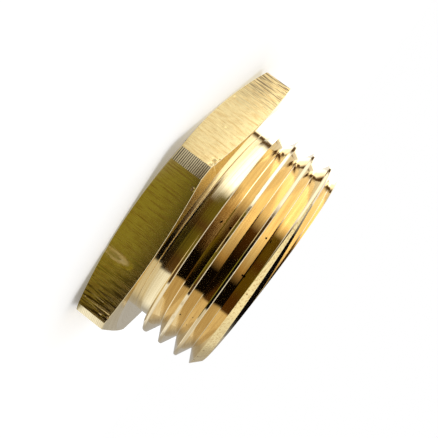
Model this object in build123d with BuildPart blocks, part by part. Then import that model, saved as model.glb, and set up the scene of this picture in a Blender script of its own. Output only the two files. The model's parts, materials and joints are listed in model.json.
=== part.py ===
"""Hexagon-head plug with an M27 x 2 thread, turned in one piece from drawn brass bar.

Frame: the middle of the head's outer face is the origin, +Z runs along the axis from the head to the
thread's end, and two of the hexagon's corners lie on the Y axis. All sizes are in millimetres.
"""
import os
from math import ceil, cos, radians, tan

from build123d import *

# Head, turned from hexagon bar
across_flats = 30.0
head_height = 4.0
corner_cut = 0.37           # taken off each corner of the bar, which leaves a narrow round land there
outer_face_inset = 0.45     # from the flats in to the outer face's rim
outer_chamfer_angle = 15.0
seat_inset = 0.2            # from the flats in to the rim of the sealing seat
seat_chamfer_angle = 10.0

# Shank, measured from the seat under the head
shank_length = 8.9
neck_width = 1.75           # thread relief between the seat and the first crest
neck_clearance = 0.235      # the neck lies this much below the bottom of the thread
neck_fillet = 0.25
end_chamfer = 1.24          # 45 degree lead-in at the thread's end

# Thread: 60 degree metric thread, right-hand, turned a little under its nominal 27 mm
thread_diameter = 26.6
thread_pitch = 2.0
thread_angle = 60.0
crest_width = 0.3
root_width = 0.28
groove_start = 1.727        # the groove's helix begins this far below the seat
groove_bearing = 180.0      # and on this side of the axis, in degrees from +X

# Derived sizes
corner_radius = across_flats / 2 / cos(radians(30)) - corner_cut
outer_face_radius = across_flats / 2 - outer_face_inset
seat_radius = across_flats / 2 - seat_inset
outer_chamfer_height = (corner_radius - outer_face_radius) * tan(radians(outer_chamfer_angle))
seat_chamfer_height = (corner_radius - seat_radius) * tan(radians(seat_chamfer_angle))
thread_radius = thread_diameter / 2
flank_slope = tan(radians(thread_angle / 2))
groove_width = thread_pitch - crest_width
thread_depth = (groove_width - root_width) / 2 / flank_slope
root_radius = thread_radius - thread_depth
neck_radius = root_radius - neck_clearance
end_radius = thread_radius - end_chamfer
thread_z = head_height + neck_width
end_z = head_height + shank_length

# The threading tool: a trapezoid that reaches a little way out of the blank
tool_width = groove_width + crest_width / 2
tool_radius = root_radius + (tool_width - root_width) / 2 / flank_slope
groove_z = head_height - groove_start
groove_turns = ceil((end_z + groove_width - groove_z) / thread_pitch)

# The groove's right-hand helix, kept as one edge for each turn so that each turn gets faces of its own
groove_plane = Plane.XZ.rotated((0, 0, groove_bearing))
helix_turns = []
for turn in range(groove_turns):
    turn_z = groove_z + turn * thread_pitch
    turn_edge = Edge.make_helix(thread_pitch, thread_pitch, root_radius, center=(0, 0, turn_z))
    helix_turns.append(turn_edge.rotate(Axis.Z, groove_bearing))
groove_path = Wire(helix_turns)

# Head: a turned blank with a chamfer on each side, cut to the hexagon of the bar
with BuildPart() as head:
    with BuildSketch(Plane.XZ):
        with BuildLine():
            Polyline(
                (0, 0),
                (outer_face_radius, 0),
                (corner_radius, outer_chamfer_height),
                (corner_radius, head_height - seat_chamfer_height),
                (seat_radius, head_height),
                (0, head_height),
                close=True,
            )
        make_face()
    revolve(axis=Axis.Z)
    with BuildSketch():
        RegularPolygon(across_flats / 2, 6, major_radius=False, rotation=30)
    extrude(amount=head_height, mode=Mode.INTERSECT)

with BuildPart() as plug:
    # Shank blank: relief neck, thread cylinder and lead-in chamfer
    with BuildSketch(Plane.XZ):
        with BuildLine():
            Polyline(
                (0, head_height),
                (neck_radius, head_height),
                (neck_radius, thread_z),
                (thread_radius, thread_z),
                (thread_radius, end_z - end_chamfer),
                (end_radius, end_z),
                (0, end_z),
                close=True,
            )
        make_face()
    revolve(axis=Axis.Z)

    # Thread: one groove along the helix, from the open neck out through the chamfer
    with BuildSketch(groove_plane):
        with BuildLine():
            Polyline(
                (root_radius, groove_z - root_width / 2),
                (tool_radius, groove_z - tool_width / 2),
                (tool_radius, groove_z + tool_width / 2),
                (root_radius, groove_z + root_width / 2),
                close=True,
            )
        make_face()
    sweep(path=groove_path, is_frenet=True, mode=Mode.SUBTRACT)

    # The head joins the neck, with a small fillet where the neck meets the seat
    add(head.part)
    seat_edges = plug.edges().filter_by(GeomType.CIRCLE).filter_by_position(Axis.Z, head_height, head_height)
    fillet(seat_edges.sort_by(SortBy.RADIUS)[0], neck_fillet)

plug.part.label = "plug"

os.makedirs("parts", exist_ok=True)
export_step(plug.part, "parts/plug.step")
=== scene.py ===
"""Looks of a hexagon-head brass plug: one turned piece, its finishes, and a plain white studio.

Run as a script. The plug stands on its head, in metres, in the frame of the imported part.
"""
import json
import math
import random

import bmesh
import bpy
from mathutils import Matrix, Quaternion, Vector, noise


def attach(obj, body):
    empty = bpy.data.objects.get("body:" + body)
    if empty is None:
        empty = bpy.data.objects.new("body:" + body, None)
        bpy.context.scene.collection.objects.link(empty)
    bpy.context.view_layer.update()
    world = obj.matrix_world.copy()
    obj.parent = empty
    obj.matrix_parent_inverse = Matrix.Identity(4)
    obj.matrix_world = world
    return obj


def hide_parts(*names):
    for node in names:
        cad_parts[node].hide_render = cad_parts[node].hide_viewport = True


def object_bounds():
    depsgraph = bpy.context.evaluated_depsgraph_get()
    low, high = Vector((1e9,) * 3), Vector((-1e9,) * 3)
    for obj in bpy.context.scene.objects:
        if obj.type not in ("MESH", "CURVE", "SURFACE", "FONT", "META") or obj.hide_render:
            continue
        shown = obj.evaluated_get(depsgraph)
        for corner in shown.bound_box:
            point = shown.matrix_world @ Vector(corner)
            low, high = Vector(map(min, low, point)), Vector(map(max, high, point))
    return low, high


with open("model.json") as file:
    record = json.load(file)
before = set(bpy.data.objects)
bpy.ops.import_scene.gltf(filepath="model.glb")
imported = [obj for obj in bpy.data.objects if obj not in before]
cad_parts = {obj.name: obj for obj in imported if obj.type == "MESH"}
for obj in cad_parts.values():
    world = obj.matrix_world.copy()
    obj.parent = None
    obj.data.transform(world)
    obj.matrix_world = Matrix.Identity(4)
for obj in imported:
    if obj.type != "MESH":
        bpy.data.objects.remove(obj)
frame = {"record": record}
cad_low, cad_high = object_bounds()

bl_info = {
    "name": "Brass Plug",
    "version": (1, 0, 0),
    "blender": (4, 5, 0),
    "location": "View3D > Sidebar > Plug",
    "description": "Makes a hexagon-head brass plug and a white studio around it",
    "category": "Object",
}

MM = 0.001
PIECE = "brass_plug"
HEX_SIDES = 6
SHARP_FROM = math.radians(8)
GRAIN_RANGE = (0.3, 0.7)

# Finishes, in the order of the plug's materials
DRAWN, LAND, TURNED, THREADED, LEAD_IN, SEAT_RIM, END_FACE = range(7)

mounts = {mount["name"]: mount for mount in frame["record"]["mounts"]}


class PlugSizes(bpy.types.PropertyGroup):
    """Sizes of the turned plug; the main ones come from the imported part."""

    across_flats: bpy.props.FloatProperty(
        name="Across flats", description="Width of the hexagon head from flat to flat",
        default=cad_high.x - cad_low.x, unit="LENGTH")
    corner_radius: bpy.props.FloatProperty(
        name="Corner radius", description="Radius of the round lands that are turned on the corners",
        default=cad_high.y, unit="LENGTH")
    head_height: bpy.props.FloatProperty(
        name="Head height", description="From the head's outer face to the sealing seat",
        default=mounts["seat"]["pos_m"][2], unit="LENGTH")
    full_height: bpy.props.FloatProperty(
        name="Full height", description="From the head's outer face to the thread's end",
        default=cad_high.z, unit="LENGTH")
    outer_face_inset: bpy.props.FloatProperty(
        name="Outer face inset", description="From the flats in to the rim of the outer face",
        default=0.45 * MM, unit="LENGTH")
    outer_chamfer: bpy.props.FloatProperty(
        name="Outer chamfer", description="Slope of the chamfer on the head's outer side",
        default=math.radians(15), subtype="ANGLE")
    seat_inset: bpy.props.FloatProperty(
        name="Seat inset", description="From the flats in to the rim of the sealing seat",
        default=0.2 * MM, unit="LENGTH")
    seat_chamfer: bpy.props.FloatProperty(
        name="Seat chamfer", description="Slope of the chamfer on the thread's side of the head",
        default=math.radians(10), subtype="ANGLE")
    edge_rounding: bpy.props.FloatProperty(
        name="Edge rounding", description="Radius of the worn edges of the head and of the thread's end",
        default=0.06 * MM, unit="LENGTH")
    neck_radius: bpy.props.FloatProperty(
        name="Neck radius", description="Radius of the relief neck below the seat",
        default=11.835 * MM, unit="LENGTH")
    neck_fillet: bpy.props.FloatProperty(
        name="Neck fillet", description="Radius where the neck meets the seat",
        default=0.06 * MM, unit="LENGTH")
    thread_radius: bpy.props.FloatProperty(
        name="Thread radius", description="Radius of the thread's crests",
        default=mounts["thread"]["dims"]["r_mm"] * MM, unit="LENGTH")
    thread_length: bpy.props.FloatProperty(
        name="Thread length", description="From the neck's end to the thread's end",
        default=mounts["thread"]["dims"]["length_mm"] * MM, unit="LENGTH")
    thread_pitch: bpy.props.FloatProperty(
        name="Thread pitch", description="From crest to crest",
        default=2.0 * MM, unit="LENGTH")
    thread_depth: bpy.props.FloatProperty(
        name="Thread depth", description="From crest to root",
        default=1.58 * MM, unit="LENGTH")
    thread_angle: bpy.props.FloatProperty(
        name="Thread angle", description="Angle between the two flanks of a groove",
        default=math.radians(55), subtype="ANGLE")
    crest_width: bpy.props.FloatProperty(
        name="Crest width", description="Width of the narrow flat on the crests",
        default=0.3 * MM, unit="LENGTH")
    crest_height: bpy.props.FloatProperty(
        name="First crest", description="Height of the first full crest on the -Y side",
        default=5.773 * MM, unit="LENGTH")
    crest_rounding: bpy.props.FloatProperty(
        name="Crest rounding", description="Size of the small bevels on the crests' edges",
        default=0.075 * MM, unit="LENGTH")
    crest_wander: bpy.props.FloatProperty(
        name="Crest wander", description="How far the worn crests lie below their full height",
        default=0.005 * MM, unit="LENGTH")
    end_chamfer: bpy.props.FloatProperty(
        name="End chamfer", description="Size of the 45 degree lead-in at the thread's end",
        default=1.16 * MM, unit="LENGTH")
    wear_seed: bpy.props.IntProperty(
        name="Wear seed", description="Picks the small marks on the sides", default=7)


class BrassColours(bpy.types.PropertyGroup):
    """Colours of the brass on the drawn, turned and threaded faces, and of what lies on it."""

    drawn_light: bpy.props.FloatVectorProperty(
        name="Drawn brass", description="Ridges of the drawn bar's faces",
        default=(0.95, 0.77, 0.38), subtype="COLOR")
    drawn_dark: bpy.props.FloatVectorProperty(
        name="Drawn brass, lines", description="Drawing lines on the bar's faces",
        default=(0.68, 0.46, 0.18), subtype="COLOR")
    drawn_scored: bpy.props.FloatVectorProperty(
        name="Drawn brass, scoring", description="Short dark scores along the bar",
        default=(0.16, 0.09, 0.04), subtype="COLOR")
    land_dark: bpy.props.FloatVectorProperty(
        name="Lands, lines", description="Coarse tool lines on the corner lands",
        default=(0.07, 0.055, 0.035), subtype="COLOR")
    turned_light: bpy.props.FloatVectorProperty(
        name="Turned brass", description="Clean turned faces",
        default=(0.95, 0.82, 0.52), subtype="COLOR")
    turned_dark: bpy.props.FloatVectorProperty(
        name="Turned brass, lines", description="Tool lines on the turned faces",
        default=(0.80, 0.65, 0.37), subtype="COLOR")
    thread_light: bpy.props.FloatVectorProperty(
        name="Thread brass", description="Clean flanks and crests",
        default=(0.91, 0.78, 0.52), subtype="COLOR")
    thread_dark: bpy.props.FloatVectorProperty(
        name="Thread brass, lines", description="Tool lines on the flanks",
        default=(0.80, 0.65, 0.40), subtype="COLOR")
    dirt: bpy.props.FloatVectorProperty(
        name="Dirt", description="Specks of dirt and oil", default=(0.035, 0.022, 0.012), subtype="COLOR")


class StudioSetup(bpy.types.PropertyGroup):
    """The camera, the floor and the lights around the plug."""

    camera_place: bpy.props.FloatVectorProperty(
        name="Camera", description="Where the camera stands",
        default=(9.82 * MM, -53.57 * MM, 9.57 * MM), subtype="TRANSLATION", unit="LENGTH")
    camera_aim: bpy.props.FloatVectorProperty(
        name="Aim", description="The point that the middle of the picture shows",
        default=(-1.23 * MM, 0.0, 5.19 * MM), subtype="TRANSLATION", unit="LENGTH")
    camera_roll: bpy.props.FloatProperty(
        name="Roll", description="Turn of the camera about its line of sight",
        default=math.radians(126.95), subtype="ANGLE")
    camera_lens: bpy.props.FloatProperty(
        name="Lens", description="Focal length in millimetres, for a 36 mm wide sensor",
        default=40.18, unit="CAMERA")
    floor_colour: bpy.props.FloatVectorProperty(
        name="Floor", description="Colour of the floor", default=(0.9, 0.9, 0.9), subtype="COLOR")
    floor_lift: bpy.props.FloatProperty(
        name="Floor lift", description="Glow that lifts the lit floor to white where it is seen",
        default=0.2)
    lamp_strength: bpy.props.FloatProperty(
        name="Lamp", description="Strength of the soft lamp overhead", default=1.2)
    lamp_spread: bpy.props.FloatProperty(
        name="Lamp spread", description="How wide the lamp looks from the floor",
        default=math.radians(80), subtype="ANGLE")


def corner_arc(before, corner, after, rounding, steps):
    """Points of the arc that rounds off a corner between two straight runs."""
    to_before = (before - corner).normalized()
    to_after = (after - corner).normalized()
    half = to_before.angle(to_after) / 2
    reach = rounding / math.tan(half)
    middle = corner + (to_before + to_after).normalized() * (rounding / math.sin(half))
    start = corner + to_before * reach - middle
    end = corner + to_after * reach - middle
    turn = start.angle(end)
    arc = []
    for k in range(steps + 1):
        part = turn * k / steps
        arc.append(middle + (start * math.sin(turn - part) + end * math.sin(part)) / math.sin(turn))
    return arc


def rounded_section(corners):
    """Points along a section through (radius, height, rounding, arc_steps, run_steps) corners.

    The steps are the number of parts in the rounding and in the straight run that leads to the corner.
    """
    places = [Vector(corner[:2]) for corner in corners]
    points = []
    for n, (_, _, rounding, arc_steps, run_steps) in enumerate(corners):
        arc = [places[n]]
        if rounding:
            arc = corner_arc(places[n - 1], places[n], places[n + 1], rounding, arc_steps)
        if points:
            start = points[-1]
            points.extend([start.lerp(arc[0], k / run_steps) for k in range(1, run_steps)])
        points.extend(arc)
    return points


def make_object(name, points, faces, finishes, materials):
    """A mesh object from points and faces, with one finish for each face and normals that point out."""
    mesh = bpy.data.meshes.new(name)
    mesh.from_pydata(points, [], faces)
    for material in materials:
        mesh.materials.append(material)
    mesh.polygons.foreach_set("material_index", finishes)
    shell = bmesh.new()
    shell.from_mesh(mesh)
    bmesh.ops.recalc_face_normals(shell, faces=shell.faces)
    shell.to_mesh(mesh)
    shell.free()
    piece = bpy.data.objects.new(name, mesh)
    bpy.context.scene.collection.objects.link(piece)
    return piece


def skin_columns(columns, first_cap, last_cap, finish_of):
    """Points, faces and finishes of a closed skin over columns of points that stand around the axis.

    first_cap and last_cap are points on the axis that close the two ends.
    """
    rows = len(columns[0])
    count = len(columns)
    points = [point for column in columns for point in column] + [first_cap, last_cap]
    first, last = len(points) - 2, len(points) - 1
    faces = []
    finishes = []
    for c in range(count):
        here = c * rows
        there = (c + 1) % count * rows
        faces.append((here, there, first))
        finishes.append(finish_of(c, 0))
        for row in range(rows - 1):
            faces.append((here + row, here + row + 1, there + row + 1, there + row))
            finishes.append(finish_of(c, row))
        faces.append((here + rows - 1, last, there + rows - 1))
        finishes.append(finish_of(c, rows - 1))
    return points, faces, finishes


def around(radius, height, angle):
    """The point at a radius and height, turned by an angle about the axis."""
    return Vector((radius * math.cos(angle), radius * math.sin(angle), height))


# Marks on the head's flats. Sides are numbered counterclockwise from +X, and a place on a flat is given
# across it, counterclockwise from its middle, and in height, in millimetres.
# Dents: side, across, height, half width, half height, depth
DENTS = (
    (4, 7.05, 3.35, 0.26, 0.18, 0.14), (4, 7.30, 3.72, 0.25, 0.24, 0.18), (4, 6.6, 3.62, 0.2, 0.16, 0.1),
    (4, 7.6, 3.4, 0.2, 0.16, 0.12), (4, -1.39, 0.48, 0.26, 0.16, 0.1), (4, 2.9, 2.1, 0.18, 0.14, 0.04),
    (5, 7.22, 3.60, 0.2, 0.16, 0.1), (5, -6.9, 3.5, 0.2, 0.16, 0.08), (5, 7.5, 2.9, 0.2, 0.25, 0.06),
)
# Crescent nicks, each a shallow groove along an oval: side, across, height, half width, half height, depth
CRESCENTS = ((5, 1.95, 1.1, 0.4, 1.25, 0.11), (1, -3.2, 2.2, 0.3, 0.7, 0.06))
# Scratches along the bar: side, across, from height, to height, half width, depth
SCRATCHES = (
    (5, 5.72, 0.74, 3.3, 0.09, 0.03), (5, 6.95, 0.8, 3.6, 0.10, 0.03), (5, 7.2, 1.2, 3.2, 0.08, 0.02),
    (5, 6.3, 0.9, 2.6, 0.07, 0.02), (4, -6.2, 0.7, 3.3, 0.08, 0.02), (4, -5.1, 0.6, 2.4, 0.07, 0.02),
    (4, 1.2, 1.1, 3.4, 0.07, 0.015),
)


def wear_marks(seed):
    """The marks given above, and a few like them on the other sides."""
    other_sides = 4
    dents_each = 5
    scratches_each = 4
    scratch_half_width = 0.08
    draw = random.Random(seed)
    dents = list(DENTS)
    scratches = list(SCRATCHES)
    for side in range(other_sides):
        for _ in range(dents_each):
            across = draw.uniform(-7, 7)
            height = draw.uniform(0.8, 3.4)
            half_width = draw.uniform(0.12, 0.28)
            half_height = draw.uniform(0.1, 0.2)
            depth = draw.uniform(0.02, 0.06)
            dents.append((side, across, height, half_width, half_height, depth))
        for _ in range(scratches_each):
            low = draw.uniform(0.6, 1.6)
            across = draw.uniform(-7.4, 7.4)
            high = low + draw.uniform(1, 2.2)
            depth = draw.uniform(0.01, 0.03)
            scratches.append((side, across, low, high, scratch_half_width, depth))
    return dents, scratches


def mark_depth(side, across, height, dents, scratches):
    """How far the marks on a flat go in at one place."""
    crescent_groove = 0.45
    depth = 0.0
    for where, middle, level, half_width, half_height, deep in dents:
        away = ((across - middle) / half_width) ** 2 + ((height - level) / half_height) ** 2
        if where == side and away < 1:
            depth = max(depth, deep * (1 - away) ** 2)
    for where, middle, level, half_width, half_height, deep in CRESCENTS:
        oval = math.hypot((across - middle) / half_width, (height - level) / half_height)
        away = (oval - 1) / crescent_groove
        if where == side and abs(away) < 1:
            depth = max(depth, deep * (1 - away * away))
    for where, middle, low, high, half_width, deep in scratches:
        away = abs(across - middle) / half_width
        if where == side and away < 1 and low < height < high:
            depth = max(depth, deep * (1 - away * away))
    return depth


def make_head(sizes, materials):
    """The hexagon head with its chamfers, lands and seat, and the neck that reaches into the thread."""
    flat_columns = 120
    land_columns = 8
    wall_steps = 28
    chamfer_steps = 2
    seat_steps = 8
    neck_steps = 6
    edge_steps = 4
    fillet_steps = 12
    neck_overlap = 0.3 * MM
    half_flats = sizes.across_flats / 2
    flat_angle = math.acos(half_flats / sizes.corner_radius)
    flat_reach = half_flats * math.tan(flat_angle)
    land_angle = math.tau / HEX_SIDES - 2 * flat_angle
    outer_face_radius = half_flats - sizes.outer_face_inset
    seat_radius = half_flats - sizes.seat_inset
    neck_top = sizes.full_height - sizes.thread_length + neck_overlap
    dents, scratches = wear_marks(sizes.wear_seed)

    places = []
    for side in range(HEX_SIDES):
        middle = math.tau * side / HEX_SIDES
        for k in range(flat_columns):
            across = flat_reach * (2 * k / flat_columns - 1)
            angle = middle + math.atan2(across, half_flats)
            places.append((angle, math.hypot(across, half_flats), side, across))
        for k in range(land_columns):
            angle = middle + flat_angle + land_angle * k / land_columns
            places.append((angle, sizes.corner_radius, None, 0))

    columns = []
    for angle, reach, side, across in places:
        outer_edge = (reach - outer_face_radius) * math.tan(sizes.outer_chamfer)
        seat_edge = sizes.head_height - (reach - seat_radius) * math.tan(sizes.seat_chamfer)
        section = rounded_section([
            (outer_face_radius / 2, 0, 0, 0, 1),
            (outer_face_radius, 0, sizes.edge_rounding, edge_steps, 1),
            (reach, outer_edge, sizes.edge_rounding, edge_steps, chamfer_steps),
            (reach, seat_edge, sizes.edge_rounding, edge_steps, wall_steps),
            (seat_radius, sizes.head_height, 0, 0, chamfer_steps),
            (sizes.neck_radius, sizes.head_height, sizes.neck_fillet, fillet_steps, seat_steps),
            (sizes.neck_radius, neck_top, 0, 0, neck_steps),
        ])
        column = [around(point.x, point.y, angle) for point in section]
        if side is not None:
            inward = around(-1, 0, math.tau * side / HEX_SIDES)
            for point in column:
                if math.hypot(point.x, point.y) > seat_radius:
                    depth = mark_depth(side, across / MM, point.z / MM, dents, scratches)
                    point += inward * depth * MM
        columns.append(column)

    # Rows of the section at which the wall and the chamfer beside the seat begin and end
    wall_start = 1 + 2 * edge_steps + chamfer_steps
    wall_end = wall_start + wall_steps
    chamfer_end = wall_end + edge_steps + chamfer_steps

    def finish_of(column, row):
        if wall_end <= row < chamfer_end:
            return SEAT_RIM
        if not wall_start - 1 <= row < wall_end:
            return TURNED
        return LAND if places[column][2] is None else DRAWN

    skin = skin_columns(columns, Vector((0, 0, 0)), Vector((0, 0, neck_top)), finish_of)
    return make_object("head", *skin, materials)


def make_thread_blank(sizes, materials):
    """The turned blank of the thread: a disc with the lead-in chamfer at its end."""
    turn_columns = 360
    chamfer_steps = 4
    edge_steps = 4
    spare = 0.4 * MM
    start = sizes.full_height - sizes.thread_length
    rim = sizes.thread_radius + spare
    end_radius = sizes.thread_radius - sizes.end_chamfer
    section = rounded_section([
        (sizes.thread_radius / 2, start, 0, 0, 1),
        (rim, start, 0, 0, 1),
        (rim, sizes.full_height - sizes.end_chamfer - spare, 0, 0, 1),
        (end_radius, sizes.full_height, sizes.edge_rounding, edge_steps, chamfer_steps),
        (sizes.thread_radius / 2, sizes.full_height, 0, 0, 1),
    ])
    columns = [
        [around(point.x, point.y, math.tau * c / turn_columns) for point in section]
        for c in range(turn_columns)
    ]
    # Rows of the section at which the lead-in and the end face begin
    chamfer_start = 2
    end_start = chamfer_start + chamfer_steps + edge_steps

    def finish_of(_, row):
        if row < chamfer_start:
            return TURNED
        return LEAD_IN if row < end_start else END_FACE

    skin = skin_columns(columns, Vector((0, 0, start)), Vector((0, 0, sizes.full_height)), finish_of)
    return make_object("thread_blank", *skin, materials)


def make_screw(sizes, materials):
    """A long right-hand screw that reaches past both ends of the thread."""
    turn_columns = 540
    flank_steps = 3
    spare_turns = 3
    turns_below = 1
    tip_turns = 2
    wear_step = 0.35
    fine_wear = 0.6
    fine_step = 4.3
    start = sizes.full_height - sizes.thread_length
    pitch = sizes.thread_pitch
    root_radius = sizes.thread_radius - sizes.thread_depth
    flank_run = sizes.thread_depth * math.tan(sizes.thread_angle / 2)
    crest_edge = sizes.crest_width / 2
    flank_foot = crest_edge + flank_run
    section = rounded_section([
        (root_radius, -pitch / 2, 0, 0, 1),
        (root_radius, -flank_foot, 0, 0, 1),
        (sizes.thread_radius, -crest_edge, sizes.crest_rounding, 1, flank_steps),
        (sizes.thread_radius, crest_edge, sizes.crest_rounding, 1, 1),
        (root_radius, flank_foot, 0, 0, flank_steps),
        (root_radius, pitch / 2, 0, 0, 1),
    ])
    rows = len(section) - 1
    worn_from = sizes.thread_radius - sizes.crest_rounding / 2
    turns = math.ceil(sizes.thread_length / pitch) + spare_turns
    below = math.ceil((sizes.crest_height - start) / pitch) + turns_below
    column_count = turns * turn_columns

    # Each turn's last row is the next turn's first row, so that the turns are joined
    number = {}
    points = []
    for c in range(column_count + 1):
        angle = math.tau * c / turn_columns
        rise = sizes.crest_height + pitch * (c / turn_columns - below)
        for row, point in enumerate(section):
            if row == rows and c + turn_columns <= column_count:
                continue
            number[c, row] = len(points)
            radius = point.x
            if radius > worn_from:
                spot = Vector((c * wear_step, point.y / sizes.crest_width, 0))
                wear = noise.noise(spot) + fine_wear * noise.noise(spot * fine_step)
                radius -= sizes.crest_wander * max(0, wear)
            points.append(around(radius, rise + point.y, angle - math.pi / 2))
    for c in range(column_count + 1 - turn_columns):
        number[c, rows] = number[c + turn_columns, 0]
    faces = []
    for c in range(column_count):
        for row in range(rows):
            faces.append((number[c, row], number[c + 1, row], number[c + 1, row + 1], number[c, row + 1]))

    # A tip on the axis closes each end
    low_tip, high_tip = len(points), len(points) + 1
    points.append(Vector((0, 0, sizes.crest_height - pitch * (below + tip_turns))))
    points.append(Vector((0, 0, sizes.crest_height + pitch * (turns - below + tip_turns))))
    rows_back = range(rows - 1, -1, -1)
    first_turn = [number[c, 0] for c in range(turn_columns + 1)]
    first_turn += [number[0, row] for row in rows_back]
    last_turn = [number[c, rows] for c in range(column_count - turn_columns, column_count + 1)]
    last_turn += [number[column_count, row] for row in rows_back]
    for loop, tip in ((first_turn, low_tip), (last_turn, high_tip)):
        faces.extend([(one, other, tip) for one, other in zip(loop, loop[1:])])
    return make_object("screw", points, faces, [THREADED] * len(faces), materials)


def keep_result(piece):
    """Replaces a piece's mesh by what its modifiers make of it."""
    graph = bpy.context.evaluated_depsgraph_get()
    result = bpy.data.meshes.new_from_object(piece.evaluated_get(graph))
    piece.modifiers.clear()
    piece.data = result


def combine(base, other, operation):
    """Joins or trims one closed piece with another, which is used up."""
    tool = base.modifiers.new(operation.title(), "BOOLEAN")
    tool.operation = operation
    tool.solver = "MANIFOLD"
    tool.object = other
    keep_result(base)
    bpy.data.objects.remove(other)


def even_shading(piece):
    """Smooth shading with sharp edges, set by the broad faces, so that narrow rounded edges don't tilt it."""
    piece.data.polygons.foreach_set("use_smooth", [True] * len(piece.data.polygons))
    piece.data.set_sharp_from_angle(angle=SHARP_FROM)
    shading = piece.modifiers.new("Even shading", "WEIGHTED_NORMAL")
    shading.keep_sharp = True
    shading.weight = 95
    keep_result(piece)


def add_node(tree, kind, **settings):
    """A new node with its plain settings."""
    node = tree.nodes.new(kind)
    for name, value in settings.items():
        setattr(node, name, value)
    return node


def metal(name):
    """A new metal material, its node tree and its shader."""
    material = bpy.data.materials.new(name)
    material.use_nodes = True
    shader = material.node_tree.nodes["Principled BSDF"]
    shader.inputs["Metallic"].default_value = 1
    return material, material.node_tree, shader


def stretched(tree, source, factors):
    """A place in space, drawn out or squeezed along the axes."""
    node = add_node(tree, "ShaderNodeVectorMath", operation="MULTIPLY")
    tree.links.new(source, node.inputs[0])
    node.inputs[1].default_value = factors
    return node.outputs[0]


def grain(tree, place, detail):
    """Noise between 0 and 1 at a place, most of it within GRAIN_RANGE."""
    node = add_node(tree, "ShaderNodeTexNoise")
    tree.links.new(place, node.inputs["Vector"])
    node.inputs["Scale"].default_value = 1
    node.inputs["Detail"].default_value = detail
    node.inputs["Roughness"].default_value = 0.6
    return node.outputs[0]


def fine_grain(tree, place, per_metre, detail):
    """Noise that changes about so many times in a metre along each axis."""
    return grain(tree, stretched(tree, place, per_metre), detail)


def span(tree, value, before, after):
    """A value moved from one range to another; each is a pair."""
    node = add_node(tree, "ShaderNodeMapRange")
    tree.links.new(value, node.inputs["Value"])
    node.inputs["From Min"].default_value, node.inputs["From Max"].default_value = before
    node.inputs["To Min"].default_value, node.inputs["To Max"].default_value = after
    return node.outputs[0]


def own_place(tree):
    """The place of a point in the piece's own frame."""
    return add_node(tree, "ShaderNodeTexCoord").outputs["Object"]


def coordinate(tree, place, axis):
    """A place's distance along one axis."""
    node = add_node(tree, "ShaderNodeSeparateXYZ")
    tree.links.new(place, node.inputs[0])
    return node.outputs[axis]


def joined(tree, operation, one, other=0):
    """What a sum, a product or another operation makes of one or two values."""
    node = add_node(tree, "ShaderNodeMath", operation=operation)
    for socket, value in zip(node.inputs, (one, other)):
        if isinstance(value, (int, float)):
            socket.default_value = value
        else:
            tree.links.new(value, socket)
    return node.outputs[0]


def blended(tree, share, one, other):
    """One colour changing to another; each is a colour or a socket."""
    node = add_node(tree, "ShaderNodeMix", data_type="RGBA")
    tree.links.new(share, node.inputs["Factor"])
    # The node's sockets for colours come after those for its other kinds of data
    for socket, colour in ((node.inputs[6], one), (node.inputs[7], other)):
        if isinstance(colour, bpy.types.NodeSocket):
            tree.links.new(colour, socket)
        else:
            socket.default_value = (*colour, 1)
    return node.outputs[2]


def relief(tree, shader, height, strength, distance):
    """Fine relief on a shader."""
    node = add_node(tree, "ShaderNodeBump")
    node.inputs["Strength"].default_value = strength
    node.inputs["Distance"].default_value = distance
    tree.links.new(height, node.inputs["Height"])
    tree.links.new(node.outputs[0], shader.inputs["Normal"])


def tool_lines(tree, place, per_metre, drift):
    """Lines that run round the axis, as a lathe tool leaves them, and drift a little on the way."""
    flat = stretched(tree, place, (1, 1, 0))
    radius = add_node(tree, "ShaderNodeVectorMath", operation="LENGTH")
    tree.links.new(flat, radius.inputs[0])
    heading = add_node(tree, "ShaderNodeVectorMath", operation="NORMALIZE")
    tree.links.new(flat, heading.inputs[0])
    section = add_node(tree, "ShaderNodeCombineXYZ")
    tree.links.new(radius.outputs["Value"], section.inputs["X"])
    tree.links.new(coordinate(tree, place, "Z"), section.inputs["Y"])
    spot = add_node(tree, "ShaderNodeVectorMath", operation="MULTIPLY_ADD")
    tree.links.new(section.outputs[0], spot.inputs[0])
    spot.inputs[1].default_value = (per_metre, per_metre, 0)
    tree.links.new(stretched(tree, heading.outputs[0], (drift, drift, 0)), spot.inputs[2])
    return grain(tree, spot.outputs[0], detail=3)


def specks(tree, place, per_metre, size, share):
    """1 on scattered small specks and 0 elsewhere."""
    cells = add_node(tree, "ShaderNodeTexVoronoi")
    tree.links.new(place, cells.inputs["Vector"])
    cells.inputs["Scale"].default_value = per_metre
    split = add_node(tree, "ShaderNodeSeparateColor")
    tree.links.new(cells.outputs["Color"], split.inputs[0])
    chosen = joined(tree, "LESS_THAN", split.outputs[0], share)
    near = joined(tree, "LESS_THAN", cells.outputs["Distance"], size)
    return joined(tree, "MULTIPLY", chosen, near)


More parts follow.
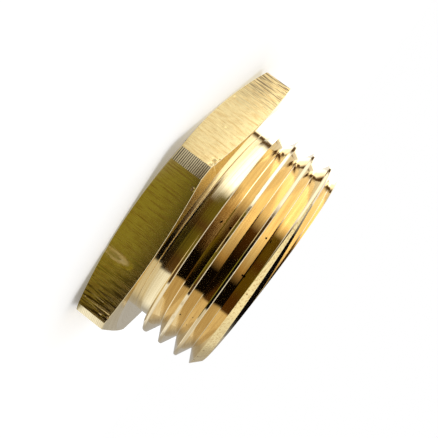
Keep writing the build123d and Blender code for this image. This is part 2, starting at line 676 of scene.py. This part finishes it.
def scuffed_rims(tree, place, half_flats):
    """1 on the ragged rims of the crescent nicks and 0 elsewhere."""
    raggedness = 0.5
    scuffs = fine_grain(tree, place, per_metre=(2500, 2500, 2500), detail=2)
    unevenness = joined(tree, "MULTIPLY", scuffs, raggedness)
    rims = None
    for side, across, height, half_width, half_height, _ in CRESCENTS:
        turned = add_node(tree, "ShaderNodeVectorRotate", rotation_type="Z_AXIS")
        tree.links.new(place, turned.inputs["Vector"])
        turned.inputs["Angle"].default_value = -math.tau * side / HEX_SIDES
        offset = add_node(tree, "ShaderNodeVectorMath", operation="SUBTRACT")
        tree.links.new(turned.outputs[0], offset.inputs[0])
        offset.inputs[1].default_value = (half_flats, across * MM, height * MM)
        oval = stretched(tree, offset.outputs[0], (1 / MM, 1 / (half_width * MM), 1 / (half_height * MM)))
        distance = add_node(tree, "ShaderNodeVectorMath", operation="LENGTH")
        tree.links.new(oval, distance.inputs[0])
        ragged = joined(tree, "ADD", distance.outputs["Value"], unevenness)
        inside = span(tree, ragged, (1.45, 1.25), (0, 1))
        rim = joined(tree, "MULTIPLY", inside, span(tree, ragged, (0.7, 1.2), (0.4, 1)))
        rims = rim if rims is None else joined(tree, "MAXIMUM", rims, rim)
    return rims


def drawn_brass(sizes, colours):
    """Faces of the drawn bar: a mottled tone, fine lines along the bar, and dark scores where it is worn."""
    # The worn ends of the two flats beside the -Y corner lie between these places on the Y axis
    worn_from = (-12.8 * MM, -9.8 * MM)
    worn_until = (-8.3 * MM, -7.3 * MM)
    lines_share = 0.65
    rim_dullness = 0.5
    material, tree, shader = metal("drawn brass")
    place = own_place(tree)
    lines = fine_grain(tree, place, per_metre=(7500, 7500, 520), detail=1)
    mottle = fine_grain(tree, place, per_metre=(2300, 2300, 1500), detail=3)
    tone = joined(tree, "ADD", joined(tree, "MULTIPLY", lines, lines_share),
                  joined(tree, "MULTIPLY", mottle, 1 - lines_share))
    brass = blended(tree, span(tree, tone, (0.34, 0.58), (0, 1)), colours.drawn_dark, colours.drawn_light)
    y = coordinate(tree, place, "Y")
    worn = joined(tree, "MULTIPLY", span(tree, y, worn_from, (0.1, 0.95)),
                  span(tree, y, worn_until, (1, 0.2)))
    scores = joined(tree, "MULTIPLY", span(tree, lines, (0.5, 0.6), (0, 1)), worn)
    scored = blended(tree, scores, brass, colours.drawn_scored)
    rims = scuffed_rims(tree, place, sizes.across_flats / 2)
    tree.links.new(blended(tree, rims, scored, colours.drawn_light), shader.inputs["Base Color"])
    gleam = span(tree, lines, GRAIN_RANGE, (0.32, 0.2))
    dulled = joined(tree, "ADD", gleam, joined(tree, "MULTIPLY", rims, rim_dullness))
    tree.links.new(dulled, shader.inputs["Roughness"])
    relief(tree, shader, tone, strength=0.5, distance=0.02 * MM)
    return material


def land_brass(colours):
    """The corner lands: even feed lines round the axis, strongest on the land at -Y."""
    feed = 0.17 * MM
    strongest_at = -16 * MM
    faint_from = -13 * MM
    material, tree, shader = metal("turned brass, lands")
    place = own_place(tree)
    lines = tool_lines(tree, place, per_metre=6200, drift=1.5)
    wave = joined(tree, "SINE", joined(tree, "MULTIPLY", coordinate(tree, place, "Z"), math.tau / feed))
    uneven = joined(tree, "ADD", wave, span(tree, lines, GRAIN_RANGE, (-0.5, 0.5)))
    strength = span(tree, coordinate(tree, place, "Y"), (strongest_at, faint_from), (1, 0.15))
    dark = joined(tree, "MULTIPLY", span(tree, uneven, (-0.15, -0.6), (0, 1)), strength)
    tree.links.new(blended(tree, dark, colours.turned_light, colours.land_dark), shader.inputs["Base Color"])
    tree.links.new(span(tree, lines, GRAIN_RANGE, (0.3, 0.15)), shader.inputs["Roughness"])
    relief(tree, shader, lines, strength=0.4, distance=0.01 * MM)
    return material


def turned_brass(colours):
    """Turned faces: lines round the axis, a clean gleam and a few specks."""
    material, tree, shader = metal("turned brass")
    place = own_place(tree)
    lines = tool_lines(tree, place, per_metre=6000, drift=1.5)
    brass = blended(tree, span(tree, lines, (0.35, 0.62), (0, 1)), colours.turned_dark, colours.turned_light)
    dirt = specks(tree, place, per_metre=700, size=0.09, share=0.12)
    tree.links.new(blended(tree, dirt, brass, colours.dirt), shader.inputs["Base Color"])
    tree.links.new(span(tree, lines, GRAIN_RANGE, (0.12, 0.06)), shader.inputs["Roughness"])
    relief(tree, shader, lines, strength=0.12, distance=0.01 * MM)
    return material


def faced_brass(name, colours, roughness):
    """Faces turned with a broad tool: fine lines round the axis and a softer gleam."""
    smoothed = 0.75
    material, tree, shader = metal(name)
    lines = tool_lines(tree, own_place(tree), per_metre=6000, drift=1.5)
    brass = blended(tree, span(tree, lines, (0.35, 0.62), (0, 1)), colours.turned_dark, colours.turned_light)
    tree.links.new(brass, shader.inputs["Base Color"])
    gleam = span(tree, lines, GRAIN_RANGE, (roughness, roughness * smoothed))
    tree.links.new(gleam, shader.inputs["Roughness"])
    relief(tree, shader, lines, strength=0.15, distance=0.01 * MM)
    return material


def stippled_brass(colours):
    """The lead-in at the thread's end: turned roughly, with small pits and specks."""
    material, tree, shader = metal("turned brass, lead-in")
    place = own_place(tree)
    pitted = fine_grain(tree, place, per_metre=(5500, 5500, 5500), detail=2)
    brass = blended(tree, span(tree, pitted, (0.34, 0.5), (0, 1)), colours.drawn_dark, colours.drawn_light)
    dirt = specks(tree, place, per_metre=2200, size=0.2, share=0.1)
    tree.links.new(blended(tree, dirt, brass, colours.dirt), shader.inputs["Base Color"])
    tree.links.new(span(tree, pitted, GRAIN_RANGE, (0.3, 0.18)), shader.inputs["Roughness"])
    relief(tree, shader, pitted, strength=0.35, distance=0.02 * MM)
    return material


def thread_brass(colours):
    """Flanks and crests: lines along the groove, a bright gleam, and specks of dirt."""
    material, tree, shader = metal("threaded brass")
    place = own_place(tree)
    lines = tool_lines(tree, place, per_metre=5000, drift=2.5)
    brass = blended(tree, span(tree, lines, (0.35, 0.65), (0, 1)), colours.thread_dark, colours.thread_light)
    dirt = specks(tree, place, per_metre=800, size=0.1, share=0.15)
    tree.links.new(blended(tree, dirt, brass, colours.dirt), shader.inputs["Base Color"])
    tree.links.new(span(tree, lines, GRAIN_RANGE, (0.075, 0.045)), shader.inputs["Roughness"])
    relief(tree, shader, lines, strength=0.05, distance=0.01 * MM)
    return material


class MakePlug(bpy.types.Operator):
    """Make the brass plug: hexagon head, neck and thread in one piece"""

    bl_idname = "object.brass_plug_make"
    bl_label = "Make Plug"

    def execute(self, context):
        sizes = context.scene.plug_sizes
        colours = context.scene.plug_colours
        materials = [
            drawn_brass(sizes, colours),
            land_brass(colours),
            turned_brass(colours),
            thread_brass(colours),
            stippled_brass(colours),
            faced_brass("faced brass, seat rim", colours, roughness=0.22),
            faced_brass("faced brass, end", colours, roughness=0.5),
        ]
        plug = make_screw(sizes, materials)
        combine(plug, make_thread_blank(sizes, materials), "INTERSECT")
        combine(plug, make_head(sizes, materials), "UNION")
        plug.name = PIECE
        plug.data.name = PIECE
        even_shading(plug)
        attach(plug, "root")
        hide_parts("plug")
        return {"FINISHED"}


def seen_rays(tree):
    """1 for the rays of the camera and for what metal and glass show, 0 for the rays that light things."""
    rays = add_node(tree, "ShaderNodeLightPath")
    mirrored = joined(tree, "MAXIMUM", rays.outputs["Is Glossy Ray"], rays.outputs["Is Transmission Ray"])
    return joined(tree, "MAXIMUM", rays.outputs["Is Camera Ray"], mirrored)


def make_floor(studio):
    """A wide pale floor under the head; what is seen of it is lifted to white, less the plug's shadow."""
    reach = 3.0
    corners = [(-reach, -reach, 0), (reach, -reach, 0), (reach, reach, 0), (-reach, reach, 0)]
    material = bpy.data.materials.new("floor")
    material.use_nodes = True
    tree = material.node_tree
    shader = tree.nodes["Principled BSDF"]
    shader.inputs["Base Color"].default_value = (*studio.floor_colour, 1)
    shader.inputs["Roughness"].default_value = 0.8
    shader.inputs["Specular IOR Level"].default_value = 0.0
    shader.inputs["Emission Color"].default_value = (1, 1, 1, 1)
    lift = span(tree, seen_rays(tree), (0, 1), (0, studio.floor_lift))
    tree.links.new(lift, shader.inputs["Emission Strength"])
    floor = make_object("floor", corners, [(0, 1, 2, 3)], [0], [material])


# Tones of the light tent's glowing cloth, which only the metal mirrors: painted reflections, with painted
# highlights above white and painted dark reflections below it
WHITE = (1.0, 1.0, 1.0)
PALE = (0.85, 0.85, 0.85)
BRIGHT = (1.4, 1.4, 1.4)
STRONG = (1.8, 1.8, 1.8)
HOT = (2.3, 2.3, 2.3)
GREY = (0.45, 0.43, 0.4)
OLIVE = (0.26, 0.235, 0.036)
MOSS = (0.14, 0.11, 0.012)
CREAM = (0.74, 0.7, 0.62)
TAN = (0.55, 0.45, 0.3)
BROWN = (0.1, 0.05, 0.012)
BLACK = (0.004, 0.003, 0.003)

# The tent's rings from the plug outwards and up: name, section (radius, height) in millimetres, and the
# tone of the painted reflection by bearing in degrees from -Y towards +X
PAINTED_REFLECTION_RINGS = (
    ("tent_near", ((14.7, 0.02), (33, 0.02)), (
        (-180, WHITE), (-20, WHITE), (-2, GREY), (15, OLIVE), (46, OLIVE), (60, MOSS), (70, MOSS),
        (74, WHITE), (120, WHITE), (140, GREY), (180, GREY))),
    ("tent_middle", ((33, 0.02), (55, 0.02)), (
        (-180, WHITE), (-108, WHITE), (-102, BROWN), (-94, BROWN), (-84, BRIGHT), (-28, BRIGHT),
        (-8, BROWN), (24, BLACK), (66, BLACK), (69, CREAM), (120, CREAM), (140, GREY), (180, GREY))),
    ("tent_far", ((55, 0.02), (300, 0.02)), (
        (-180, GREY), (-160, HOT), (-114, HOT), (-108, BROWN), (-100, BROWN), (-88, HOT), (-34, HOT),
        (-16, MOSS), (4, MOSS), (14, BROWN), (24, MOSS), (38, MOSS), (52, BROWN), (68, BROWN),
        (70, WHITE), (120, WHITE), (140, GREY), (180, GREY))),
    ("tent_wall", ((300, 0.02), (300, 48)), (
        (-180, GREY), (-160, HOT), (-124, HOT), (-119, BROWN), (-113, BROWN), (-104, BRIGHT),
        (-42, BRIGHT), (-26, BROWN), (4, BLACK), (69, BLACK), (71, CREAM), (120, CREAM), (140, GREY),
        (180, GREY))),
    ("tent_low_rail", ((300, 48), (300, 66)), (
        (-180, WHITE), (-124, STRONG), (-119, BROWN), (-113, BROWN), (-104, STRONG), (-36, STRONG),
        (-14, TAN), (8, BROWN), (36, BLACK), (69, BLACK), (72, CREAM), (120, CREAM), (140, GREY),
        (180, GREY))),
    ("tent_high", ((300, 66), (300, 120)), (
        (-180, WHITE), (-124, STRONG), (-119, BROWN), (-113, BROWN), (-104, STRONG), (-20, STRONG),
        (10, PALE), (26, TAN), (42, BLACK), (69, BLACK), (72, CREAM), (120, CREAM), (140, GREY),
        (180, GREY))),
    ("tent_top", ((300, 120), (300, 220)), (
        (-180, BROWN), (-172, BROWN), (-164, WHITE), (-60, WHITE), (-25, PALE), (5, BROWN), (69, BROWN),
        (72, PALE), (120, PALE), (140, GREY), (170, GREY), (177, BROWN), (180, BROWN))),
    ("tent_roof", ((300, 220), (180, 300)), (
        (-180, BLACK), (-152, BLACK), (-146, GREY), (-122, GREY), (-112, PALE), (162, PALE),
        (169, BLACK), (180, BLACK))),
)


def painted_reflection_cloth(name, tones):
    """Glowing cloth that paints the metal's reflections; its tone follows the bearing round the plug."""
    material = bpy.data.materials.new(name)
    material.use_nodes = True
    tree = material.node_tree
    tree.nodes.clear()
    place = own_place(tree)
    ahead = joined(tree, "MULTIPLY", coordinate(tree, place, "Y"), -1)
    bearing = joined(tree, "ARCTAN2", coordinate(tree, place, "X"), ahead)
    ramp = add_node(tree, "ShaderNodeValToRGB")
    tree.links.new(span(tree, bearing, (-math.pi, math.pi), (0, 1)), ramp.inputs["Fac"])
    strongest = max(max(colour) for _, colour in tones)
    stops = ramp.color_ramp.elements
    while len(stops) > 1:
        stops.remove(stops[-1])
    for n, (degrees, colour) in enumerate(tones):
        turned = (degrees + 180) / 360
        stop = stops[0] if n == 0 else stops.new(turned)
        stop.position = turned
        stop.color = (*(part / strongest for part in colour), 1)
    glow = add_node(tree, "ShaderNodeEmission")
    glow.inputs["Strength"].default_value = strongest
    tree.links.new(ramp.outputs["Color"], glow.inputs["Color"])
    out = add_node(tree, "ShaderNodeOutputMaterial")
    tree.links.new(glow.outputs[0], out.inputs["Surface"])
    return material


def make_tent():
    """The light tent that paints the metal's reflections: rings of glowing cloth round the plug, seen only in
    reflections.
    """
    columns = 180
    for name, section, tones in PAINTED_REFLECTION_RINGS:
        points = [
            around(radius * MM, height * MM, math.tau * c / columns)
            for c in range(columns) for radius, height in section
        ]
        rows = len(section)
        faces = []
        for c in range(columns):
            here = c * rows
            there = (c + 1) % columns * rows
            faces.extend([(here + r, there + r, there + r + 1, here + r + 1) for r in range(rows - 1)])
        ring = make_object(name, points, faces, [0] * len(faces), [painted_reflection_cloth(name, tones)])
        # Only the metal's reflections see the ring, so its glow is a painted reflection
        ring.visible_camera = False
        ring.visible_diffuse = False
        ring.visible_transmission = False
        ring.visible_volume_scatter = False
        ring.visible_shadow = False


def make_lamp(scene, studio):
    """One broad soft lamp overhead, for the floor and its shadow; the metal mirrors the tent instead."""
    data = bpy.data.lights.new("lamp", "SUN")
    data.energy = studio.lamp_strength
    data.angle = studio.lamp_spread
    lamp = bpy.data.objects.new("lamp", data)
    lamp.visible_glossy = False
    scene.collection.objects.link(lamp)


def make_world(scene):
    """A white surround, as bright as white paper to the eye and in reflections, and dimmer as a light."""
    light_strength = 0.6
    seen_strength = 1.0
    world = bpy.data.worlds.new("studio")
    world.use_nodes = True
    tree = world.node_tree
    tree.nodes.clear()
    glow = add_node(tree, "ShaderNodeBackground")
    glow.inputs["Color"].default_value = (1, 1, 1, 1)
    strength = span(tree, seen_rays(tree), (0, 1), (light_strength, seen_strength))
    tree.links.new(strength, glow.inputs["Strength"])
    out = add_node(tree, "ShaderNodeOutputWorld")
    tree.links.new(glow.outputs[0], out.inputs["Surface"])
    scene.world = world


def make_camera(scene, studio):
    """The camera at the photograph's place, turned about its line of sight."""
    data = bpy.data.cameras.new("camera")
    data.lens = studio.camera_lens
    data.clip_start = 1 * MM
    camera = bpy.data.objects.new("camera", data)
    scene.collection.objects.link(camera)
    camera.location = studio.camera_place
    sight = Vector(studio.camera_aim) - Vector(studio.camera_place)
    camera.rotation_mode = "QUATERNION"
    camera.rotation_quaternion = sight.to_track_quat("-Z", "Y") @ Quaternion((0, 0, 1), studio.camera_roll)
    scene.camera = camera


class SetStage(bpy.types.Operator):
    """Set up the floor, the light and the camera"""

    bl_idname = "scene.brass_plug_stage"
    bl_label = "Set Stage"

    def execute(self, context):
        studio = context.scene.plug_studio
        make_floor(studio)
        make_tent()
        make_lamp(context.scene, studio)
        make_world(context.scene)
        make_camera(context.scene, studio)
        context.scene.view_settings.view_transform = "Standard"
        return {"FINISHED"}


class PlugPanel(bpy.types.Panel):
    """Lists the plug's settings and operators in the sidebar."""

    bl_idname = "VIEW3D_PT_brass_plug"
    bl_label = "Brass Plug"
    bl_space_type = "VIEW_3D"
    bl_region_type = "UI"
    bl_category = "Plug"

    def draw(self, context):
        for settings in (context.scene.plug_sizes, context.scene.plug_colours, context.scene.plug_studio):
            box = self.layout.box()
            for name in type(settings).__annotations__:
                box.prop(settings, name)
        self.layout.operator(MakePlug.bl_idname)
        self.layout.operator(SetStage.bl_idname)


classes = (PlugSizes, BrassColours, StudioSetup, MakePlug, SetStage, PlugPanel)


def register():
    """Adds the plug's classes and settings to Blender."""
    for kind in classes:
        bpy.utils.register_class(kind)
    bpy.types.Scene.plug_sizes = bpy.props.PointerProperty(type=PlugSizes)
    bpy.types.Scene.plug_colours = bpy.props.PointerProperty(type=BrassColours)
    bpy.types.Scene.plug_studio = bpy.props.PointerProperty(type=StudioSetup)


def unregister():
    """Takes them out again."""
    del bpy.types.Scene.plug_studio
    del bpy.types.Scene.plug_colours
    del bpy.types.Scene.plug_sizes
    for kind in reversed(classes):
        bpy.utils.unregister_class(kind)


def main():
    """Makes the plug and its stage."""
    register()
    bpy.ops.object.brass_plug_make()
    bpy.ops.scene.brass_plug_stage()


if __name__ == "__main__":
    main()
